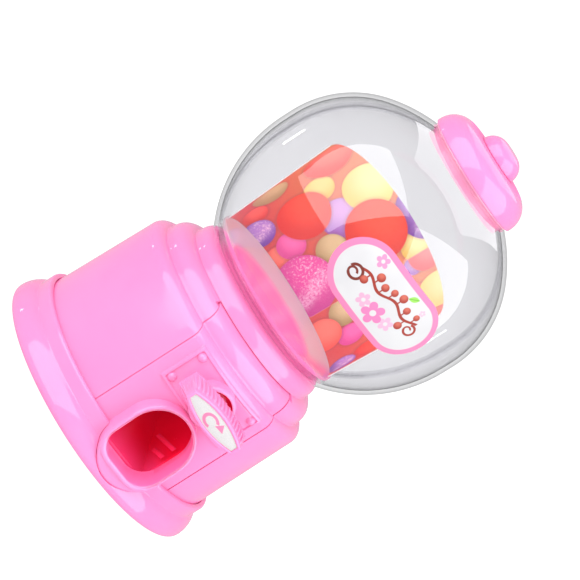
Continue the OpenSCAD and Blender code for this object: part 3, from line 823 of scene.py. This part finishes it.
# centre along the card and up, radius, light colour, dark colour, sugar-coated, right of the seam
CANDY = [
    (-11.7, 86.8, 4.8, "FFEE8A", "F0CC50", 0, 0),
    (0.7, 86.8, 6.2, "D2B0EA", "A070CC", 0, 0),
    (-25.4, 75.7, 5.9, "D8CC96", "B0A06C", 0, 0),
    (-18.9, 67.8, 4.2, "FF6A5A", "D83A36", 0, 0),
    (1.1, 64.9, 4.2, "FF8C74", "E8584C", 0, 0),
    (-0.5, 70.1, 4.5, "FF78C0", "E04CA0", 0, 0),
    (19.7, 100.5, 4.2, "FFF3A0", "EBCB5C", 0, 0),
    (15.1, 88.6, 5.9, "FF7A66", "E04A40", 0, 0),
    (19.5, 80.4, 6.5, "FFF3A0", "E8C860", 0, 0),
    (11.9, 108.4, 8.3, "CDB0EA", "7A3CA8", 1, 0),
    (-21.5, 94.6, 8.0, "FF8478", "F0504C", 0, 0),
    (-2.8, 98.5, 7.7, "FFF8A8", "F4DC70", 0, 0),
    (-6.8, 78.5, 8.3, "FF5A44", "E03028", 0, 0),
    (7.8, 79.3, 5.0, "E0D49C", "B8A870", 0, 0),
    (-10.7, 64.5, 5.5, "B48CE0", "7040B0", 1, 0),
    (9.6, 93.4, 9.2, "FF5A40", "E0301E", 0, 0),
    (12.7, 67.0, 9.5, "F25CB4", "C83898", 1, 0),
    (24.5, 97.2, 2.7, "D2B0EA", "A070CC", 0, 1),
    (32.2, 92.0, 5.3, "FF8478", "E8504C", 0, 1),
    (47.5, 89.8, 5.9, "CDB0EA", "8A58C0", 0, 1),
    (47.5, 100.9, 3.6, "FF7068", "E04448", 0, 1),
    (26.6, 83.9, 5.9, "FFF3A0", "E8C860", 0, 1),
    (39.5, 82.5, 5.3, "FF8C74", "E8584C", 0, 1),
    (23.1, 101.6, 4.8, "FF8484", "F05A60", 0, 1),
    (36.9, 101.7, 7.4, "FFF8A8", "F4DC70", 0, 1),
    (34.6, 72.2, 4.2, "FF78C0", "E04CA0", 0, 1),
    (25.9, 72.8, 4.5, "E0D49C", "B0A068", 0, 1),
    (46.6, 75.6, 5.0, "FF4E3C", "DC2C28", 0, 1),
    (29.9, 64.5, 5.9, "FF8874", "F05A4C", 0, 1),
    (47.5, 67.3, 4.5, "B48CE0", "6A3CAC", 1, 1),
]


def card_material():
    """Print of glossy candy balls: shaded discs that overlap on a ground from red to orange."""
    m = Nodes("card_print")
    degrees, z = m.print_xy()
    u = m.times(degrees, 0.48)                            # mm along the card
    colour = m.mix(m.step(z, 62, 100), srgb("D84848"), srgb("E89060"))
    sugar = m.noise(1500, 4, 0.7)
    right = m.step(u, TILE_SEAM - 0.06, TILE_SEAM + 0.06)
    left = m.minus(1.0, right)
    for cu, cz, r, light, dark, sugared, on_right in CANDY:
        tile = right if on_right else left
        du, dz = m.minus(u, cu), m.minus(z, cz)
        d = m.length(du, dz)
        from_light = m.length(m.minus(u, cu - 0.30 * r), m.minus(z, cz + 0.35 * r))
        ball = m.mix(m.step(from_light, 0.25 * r, 1.35 * r), srgb(light), srgb(dark))
        if sugared:
            spark = m.times(m.step(sugar, 0.5, 0.68), m.step(from_light, 1.1 * r, 0.2 * r))
            ball = m.mix(m.times(spark, 0.85), ball, srgb("FFF0FA"))
            # a pale slanting streak, broken up by the sugar
            across = m.gap(m.math("MULTIPLY_ADD", dz, 0.45, du), 0.3 * r)
            streak = m.times(m.step(across, 0.42 * r, 0.05 * r), m.step(sugar, 0.30, 0.62))
            streak = m.times(streak, m.step(d, 0.98 * r, 0.6 * r))
            ball = m.mix(m.times(streak, 0.6), ball, srgb("FFE4FA"))
        ball = m.mix(m.times(m.step(d, r - 0.9, r + 0.1), 0.35), ball, srgb(dark))
        # soft contact shade just outside the disc
        halo = m.times(m.times(m.step(d, r + 1.3, r), 0.3), tile)
        colour = m.mix(halo, colour, srgb("8A4450"))
        colour = m.mix(m.times(m.step(d, r + 0.12, r - 0.12), tile), colour, ball)
    crease = m.step(m.gap(u, TILE_SEAM), 0.16, 0.04)
    colour = m.mix(m.times(crease, 0.3), colour, srgb("F4C0B0"))
    dots = m.noise(5200, 1, 0.5)
    colour = m.mix(m.times(m.step(dots, 0.45, 0.7), 0.05), colour, (1.0, 1.0, 1.0))
    # the emission is painted glow, standing in for light that comes through the thin card
    return m.principled(Base_Color=colour, Roughness=m.remap(dots, 0, 1, 0.32, 0.5),
                        Normal=m.bump(dots, 0.1, 0.00003), Emission_Color=colour, Emission_Strength=0.12)


def card_radius(z):
    """Radius of the card's inner face, which is a slight cone."""
    return CARD_R0 + (z - CARD_Z0) / (CARD_Z1 - CARD_Z0) * (CARD_R1 - CARD_R0)


def card_top(angle):
    """Height of the slanting top edge at an angle in radians from the back."""
    z, middle, slope = 103.0, 99.0, math.tan(math.radians(10.5))
    for _ in range(8):
        z = middle + card_radius(z) * math.cos(angle - math.radians(CARD_SIDE)) * slope
    return z


def build_card():
    """Two grids of vertices, the card's inner and outer side, closed along its edges."""
    nu, nv = 160, 40
    verts, prints = [], []
    for layer in (0.0, CARD_T):
        for i in range(nu + 1):
            a = math.radians(CARD_SIDE - CARD_SPAN / 2 + CARD_SPAN * i / nu)   # 0 at +Y, positive towards +X
            top = card_top(a)
            for j in range(nv + 1):
                z = CARD_Z0 + (top - CARD_Z0) * j / nv
                r = card_radius(z) + layer
                verts.append((r * math.sin(a), r * math.cos(a), z))
                prints.append((math.degrees(a), z))
    ob = make("card", (verts, plate_faces(nu + 1, nv + 1)), "machine", [card_material(), board],
              "picture_card", 50)
    lay_print(ob, lambda i, co: prints[i])
    paint(ob, lambda c, normal: math.hypot(c.x, c.y) >= card_radius(c.z) + 0.1 or abs(normal.z) >= 0.5)


# ---------------- globe label

def label_material():
    """White sticker with a pink border, flowers, berries on a stalk and a leaf. No lettering."""
    m = Nodes("label_print")
    x, y = m.print_xy()
    past = m.math("MAXIMUM", m.minus(m.math("ABSOLUTE", x), LABEL_X - LABEL_H), 0.0)
    border = m.step(m.length(past, y), LABEL_H - 1.75, LABEL_H - 1.6)
    col = m.mix(m.step(m.noise(90, 2), 0.3, 0.7), (0.52, 0.52, 0.53), (0.49, 0.486, 0.503))

    def polar_at(cx, cy, turn=0.0):
        dx, dy = m.minus(x, cx), m.minus(y, cy)
        return m.length(dx, dy), m.math("ADD", m.math("ARCTAN2", dy, dx), turn)

    def flower(under, cx, cy, r, shade, turn=0.3):
        d, a = polar_at(cx, cy, turn)
        lobe = m.math("ABSOLUTE", m.math("COSINE", m.times(a, 2.5)))
        reach = m.math("MULTIPLY_ADD", m.math("POWER", lobe, 0.7), 0.48 * r, 0.52 * r)
        under = m.mix(m.step(m.minus(d, reach), 0.06, -0.06), under, shade)
        return m.mix(m.step(d, 0.27 * r + 0.06, 0.27 * r - 0.06), under, (0.52, 0.51, 0.52))

    def berry(under, cx, cy, r, light, dark):
        d, _ = polar_at(cx, cy)
        from_light, _ = polar_at(cx - 0.3 * r, cy + 0.35 * r)
        skin = m.mix(m.step(from_light, 0.15 * r, 1.3 * r), light, dark)
        return m.mix(m.step(d, r + 0.06, r - 0.06), under, skin)

    def curl(under, cx, cy, r, a0, a1, width, shade):
        d, a = polar_at(cx, cy)
        on = m.step(m.gap(d, r), width / 2 + 0.07, width / 2 - 0.05)
        ends = m.times(m.step(a, a0 - 0.03, a0 + 0.03), m.step(a, a1 + 0.03, a1 - 0.03))
        return m.mix(m.times(on, ends), under, shade)

    brown, brick, pale_brick = (0.15, 0.025, 0.017), (0.27, 0.03, 0.02), (0.46, 0.10, 0.07)
    # a wavy trailing stalk with a curl at each end and berries on short stems
    swing, pitch, shift, rise, height = 0.85, 0.60, 0.5, 0.07, 1.3
    sine = m.math("SINE", m.math("MULTIPLY_ADD", x, pitch, shift))
    wave = m.math("MULTIPLY_ADD", sine, swing, m.math("MULTIPLY_ADD", x, rise, height))
    along = m.times(m.step(x, -11.3, -11.2), m.step(x, 11.5, 11.4))
    col = m.mix(m.times(m.step(m.gap(y, wave), 0.50, 0.36), along), col, brick)
    col = curl(col, -11.35, -1.35, 1.95, -2.3, 3.12, 0.78, brown)
    col = curl(col, 11.45, 0.35, 1.6, -2.6, 2.2, 0.66, brick)
    for a0, a1 in ((-3.2, -2.24), (0.4, 3.2)):
        col = curl(col, -11.85, -1.9, 1.2, a0, a1, 0.62, brown)
    for a0, a1 in ((-3.2, -2.54), (0.6, 3.2)):
        col = curl(col, 10.89, 0.015, 0.95, a0, a1, 0.52, brick)
    for cx, up, r in ((-8.4, -1, 1.15), (-6.1, 1, 1.25), (-3.2, 1, 1.15), (-0.4, 1, 1.05), (2.5, 1, 1.25),
                      (6.0, 1, 1.1), (8.1, -1, 1.2), (9.6, 1, 0.95)):
        cy = height + rise * cx + swing * math.sin(pitch * cx + shift) + up * (r + 1.15)
        across, down = m.gap(x, cx), m.gap(y, cy - up * (r + 0.3))
        col = m.mix(m.times(m.step(across, 0.26, 0.16), m.step(down, 1.0, 0.9)), col, brick)
        col = berry(col, cx, cy, r, pale_brick, brick)
    col = flower(col, -9.3, 6.2, 2.0, (0.60, 0.23, 0.40))
    col = flower(col, 9.6, 6.0, 1.0, (0.55, 0.36, 0.46), 0.8)
    col = flower(col, -3.9, -4.1, 2.15, (0.56, 0.31, 0.44), 0.9)
    col = flower(col, 5.6, -3.5, 2.2, (0.56, 0.33, 0.46), 0.5)
    col = flower(col, 0.8, -4.3, 3.4, (0.60, 0.165, 0.35), 0.1)
    # leaf: a bulge along a slanting axis, darker on its rib
    lx, ly = m.minus(x, 4.6), m.minus(y, 6.7)
    lengthwise = m.math("ADD", m.times(lx, 0.80), m.times(ly, 0.60))
    off = m.math("ABSOLUTE", m.minus(m.times(ly, 0.80), m.times(lx, 0.60)))
    leaf = m.math("ADD", off, m.times(m.times(lengthwise, lengthwise), 0.30))
    green = m.mix(m.step(off, 0.05, 0.14), (0.08, 0.30, 0.03), (0.24, 0.52, 0.08))
    col = m.mix(m.step(leaf, 0.86, 0.76), col, green)
    col = m.mix(border, col, (0.66, 0.175, 0.34))
    grain = m.noise(4200, 2, 0.5)
    return m.principled(Base_Color=col, Roughness=m.remap(grain, 0, 1, 0.42, 0.58),
                        Normal=m.bump(grain, 0.1, 0.00002), Specular_IOR_Level=0.3)


def build_label():
    """Two layers of shrinking loops that lie on the globe, with an edge between them."""
    rings, n_side, c = 18, 36, LABEL_X - LABEL_H
    loop = np.array(arc(c, 0, LABEL_H, -90, 90, 40) + line((c, LABEL_H), (-c, LABEL_H), n_side)[1:-1]
                    + arc(-c, 0, LABEL_H, 90, 270, 40) + line((-c, -LABEL_H), (c, -LABEL_H), n_side)[1:-1])
    verts, prints = [], []
    for lift, soft in ((0.18, 0.04), (0.04, 0.0)):
        for i in range(rings + 1):
            s = 1 - i / rings
            edge = soft * (1 - eased(s, 0.94, 1.0))
            globe_r, globe_z = np.array(globe_profile(lift + edge)).T
            flat = loop * s if s else np.zeros((1, 2))
            for x, z in turned(flat, LABEL_TILT):
                x, z = x - LABEL_LEFT, LABEL_Z + z
                r = np.interp(z, globe_z, globe_r)
                verts.append((x, -math.sqrt(r * r - x * x), z))
            prints += [tuple(p) for p in flat]
    n, layer = len(loop), len(verts) // 2
    faces = cap_faces(rings, n) + cap_faces(rings, n, layer) + band(0, layer, n)
    ob = make("label", (verts, faces), "machine", [label_material(), board], "globe_label", 50)
    lay_print(ob, lambda i, co: prints[i])
    paint(ob, lambda c, normal: normal.dot(c - Vector((0, 0, BOWL_Z))) <= 0)


# ---------------- lid

def build_lid():
    edge, gap, pin = 0.35, 0.02, 2.5
    x, z = LID_R - LID_ROUND, LID_TOP - LID_ROUND
    profile = (arc(LID_R - edge, LID_Z + edge, edge, -90, 0, 4) + arc(x, z, LID_ROUND, 0, 90, 30)
               + [(FINIAL_R + 0.3, LID_TOP), (LID_HOLE, LID_TOP), (LID_HOLE, LID_TOP - LID_WALL)]
               + arc(x, z, LID_ROUND - LID_WALL, 90, 0, 20)
               + [(LID_R - LID_WALL, LID_Z + 0.2), (LID_R - 1.4, LID_Z)])
    ob = make("cap", lathe(profile, 192), "lid", [pink, matt], "lid")
    paint(ob, lambda c, normal: normal.z > 0.97 and c.z > LID_TOP - 0.4)
    button = ([(0, LID_TOP - 2.6), (pin - 0.2, LID_TOP - 2.6), (pin, LID_TOP - 2.4), (pin, LID_TOP + gap),
               (FINIAL_R - 0.3, LID_TOP + gap)] + arc(FINIAL_R - 0.3, LID_TOP + gap + 0.3, 0.3, -90, 0, 3)
              + arc(FINIAL_R - FINIAL_ROUND, FINIAL_TOP - FINIAL_ROUND, FINIAL_ROUND, 2, 90, 24)
              + [(0, FINIAL_TOP)])
    make("button", lathe(button, 128, closed=False), "lid", [pink], "lid_finial")


# ---------------- chute ribs and CAD nodes that stay

def build_chute_ribs():
    """Two slanted ribs on each side wall of the chute."""
    shape = ((0.05, -0.75), (-0.4, -0.5), (-0.55, 0.0), (-0.4, 0.5), (0.05, 0.75))
    ends = (((-18.5, 15.3), (-33.2, 20.4)), ((-25.5, 13.7), (-33.2, 16.5)))        # (y, z), rear to front
    for n, ((y0, z0), (y1, z1)) in enumerate(ends):
        shells = []
        for side in (1, -1):
            shells.append(tube([[(side * (8.2 + x * height), y0 + (y1 - y0) * t, z0 + (z1 - z0) * t + dz)
                                 for x, dz in shape]
                                for t, height in ((0.0, 0.1), (0.1, 1.0), (0.86, 1.0), (1.0, 0.1))]))
        make("chute_rib_%d" % (n + 1), merged(shells), "machine", [rib_lit_red], None, 50)


# materials of the CAD nodes that stay: the chute and the wheel housing get the deep red painted shade, the
# hopper and the lid sleeve painted glow
NODE_LOOKS = {"hopper": dish_pink, "wheel_housing": inner, "chute": inner, "lid_sleeve": sleeve_pink,
            "drive_shaft": white, "dispensing_wheel": white, "base_screws": steel, "chute_screws": steel,
            "hopper_screws": steel, "housing_screws": steel, "shaft_washer": steel, "shaft_screw": steel}

build_foot()
build_body()
build_panel()
build_rivets()
build_spout()
build_boss()
build_knob()
build_knob_ribs()
build_knob_stem()
build_turn_label()
build_globe()
build_card()
build_label()
build_lid()
build_chute_ribs()
for name, finish in NODE_LOOKS.items():
    use(nodes[name], finish)


# ---------------- floor, light, camera (m)

def floor_material():
    """White paper that glows by itself, so that shadows on it stay faint."""
    m = Nodes("floor_paper")
    tone = m.mix(m.step(m.noise(3, 2), 0.3, 0.7), (0.20, 0.20, 0.20), (0.17, 0.17, 0.17))
    return m.principled(Base_Color=tone, Roughness=0.9, Specular_IOR_Level=0.1,
                        Emission_Color=(1, 1, 1), Emission_Strength=1.0)


def behind(azimuth, elevation):
    """Direction from the object towards a camera or light, at angles in degrees."""
    a, e = math.radians(azimuth), math.radians(elevation)
    return Vector((math.sin(a) * math.cos(e), -math.cos(a) * math.cos(e), math.sin(e)))


def aimed(name, data, aim, back, distance, roll=0.0):
    """A light or camera at a distance from the point aim, looking at it."""
    ob = bpy.data.objects.new(name, data)
    bpy.context.scene.collection.objects.link(ob)
    ob.location = Vector(aim) + back * distance
    ob.rotation_mode = "QUATERNION"
    ob.rotation_quaternion = (-back).to_track_quat("-Z", "Y") @ Quaternion((0, 0, 1), math.radians(roll))
    return ob


def softbox(name, azimuth, elevation, width, height, radiance, aim=(0, 0, 0.075)):
    """A rectangular light of even radiance, in W/m2/sr, facing the object."""
    light = bpy.data.lights.new(name, "AREA")
    light.shape, light.size, light.size_y = "RECTANGLE", width, height
    light.energy = radiance * math.pi * width * height
    ob = aimed(name, light, aim, behind(azimuth, elevation), 0.9)
    ob.visible_camera = False
    return ob


FLOOR_HALF, FLOOR_Z = 40.0, -0.0002
corners = [(x * FLOOR_HALF, y * FLOOR_HALF, FLOOR_Z) for x, y in ((-1, -1), (1, -1), (1, 1), (-1, 1))]
floor = raw("floor", (corners, [[0, 1, 2, 3]]), 1.0)
use(floor, floor_material())
floor.visible_glossy = False

world = bpy.data.worlds.new("studio")
world.use_nodes = True
background = world.node_tree.nodes["Background"].inputs
background["Color"].default_value, background["Strength"].default_value = (1, 1, 1, 1), 0.55
bpy.context.scene.world = world

softbox("left", -69, 27, 1.05, 1.35, 2.75)
softbox("right", 39, 27, 1.05, 1.35, 2.75)
softbox("top", 157, 57, 0.70, 0.78, 1.3).visible_diffuse = False
softbox("strip", -133, -3, 0.034, 0.13, 8.0, (0, 0, 0.06))

camera = bpy.data.cameras.new("camera")
camera.sensor_width, camera.lens = 36.0, 149.586
camera.clip_start, camera.clip_end = 0.01, 200.0
bpy.context.scene.camera = aimed("camera", camera, (0, 0, 0.067), behind(-23.0, 9.93), 0.6852, 57.93)
bpy.context.scene.view_settings.view_transform = "Standard"
